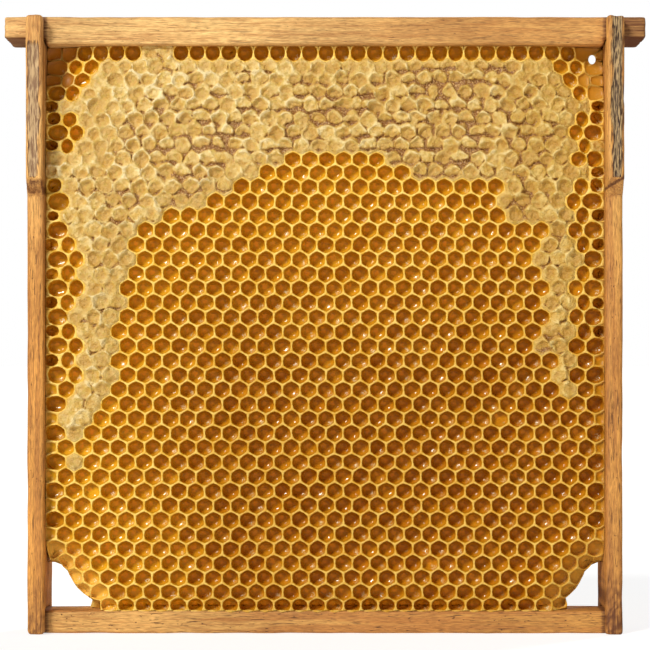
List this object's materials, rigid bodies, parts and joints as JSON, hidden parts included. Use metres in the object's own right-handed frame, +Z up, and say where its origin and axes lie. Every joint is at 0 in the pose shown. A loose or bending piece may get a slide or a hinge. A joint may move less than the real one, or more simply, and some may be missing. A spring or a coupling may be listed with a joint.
{
  "type": "honeycomb frame",
  "caption": "Small wooden hive frame filled with natural honeycomb: sealed honey arches over the top and sides, open honey cells fill the middle.",
  "frame": {"origin": "on the ground under the middle of the frame", "axes": "+X along the top bar, +Y through the comb from its front to its back, +Z up"},
  "size_m": [0.2014, 0.035, 0.194],
  "materials": {
    "wood": "planed pine, oiled by handling and stained with wax",
    "wax": "fresh golden beeswax with amber honey in the cells, satin to wet"
  },
  "bodies": {
    "root": {"top_bar": "wood", "bottom_bar": "wood", "end_bar_left": "wood", "end_bar_right": "wood", "comb": "wax"}
  },
  "joints": []
}
